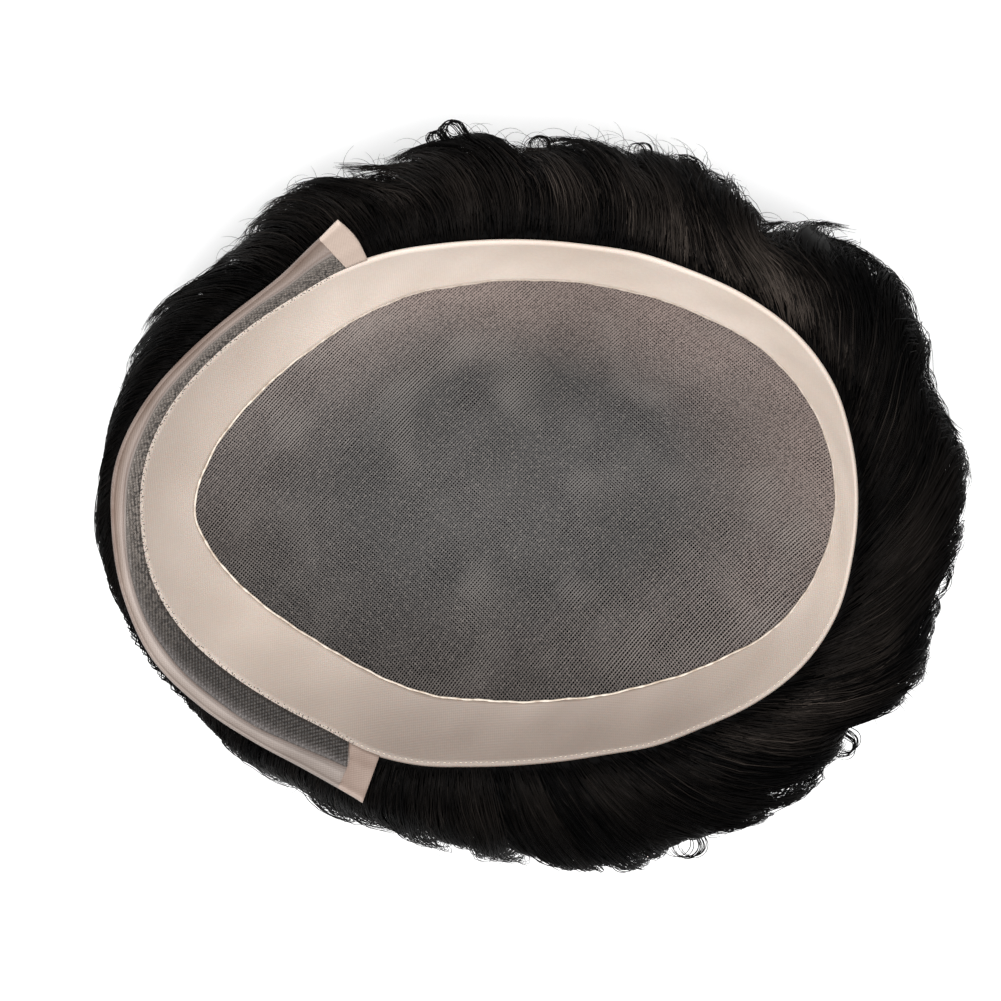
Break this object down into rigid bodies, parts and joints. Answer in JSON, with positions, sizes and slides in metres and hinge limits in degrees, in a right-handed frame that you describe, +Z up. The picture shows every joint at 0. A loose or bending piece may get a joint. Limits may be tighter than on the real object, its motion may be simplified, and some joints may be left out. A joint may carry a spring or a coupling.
{
  "type": "toupee hairpiece",
  "caption": "Men's hairpiece lying on its hair: a head-shaped net bowl with a skin-coloured band, a lace front edge with side wings, and wavy dark locks all round.",
  "frame": {"origin": "on the floor, under the middle of the hairpiece's outline in plan", "axes": "+X towards the front hairline, +Z up out of the hollow, -Y the side nearest the picture's camera"},
  "size_m": [0.2408, 0.213, 0.0854],
  "materials": {
    "net": "fine taupe-grey monofilament net, semi-matt, with small glints on the threads",
    "band": "skin-beige polyurethane-coated cloth, satin, with a faint weave under the coat",
    "lace": "dark grey lace darkened by hair knots, matt",
    "margin": "pale pinkish translucent lace, satin",
    "hair": "natural black to very dark brown hair, soft gloss along the strands"
  },
  "bodies": {
    "root": {"mono_net": "net", "skin_band": "band", "lace_strip": "lace", "front_margin": "margin", "hair_crown": "hair", "hair_front": "hair", "hair_right": "hair", "hair_back": "hair", "hair_left": "hair"}
  },
  "joints": []
}
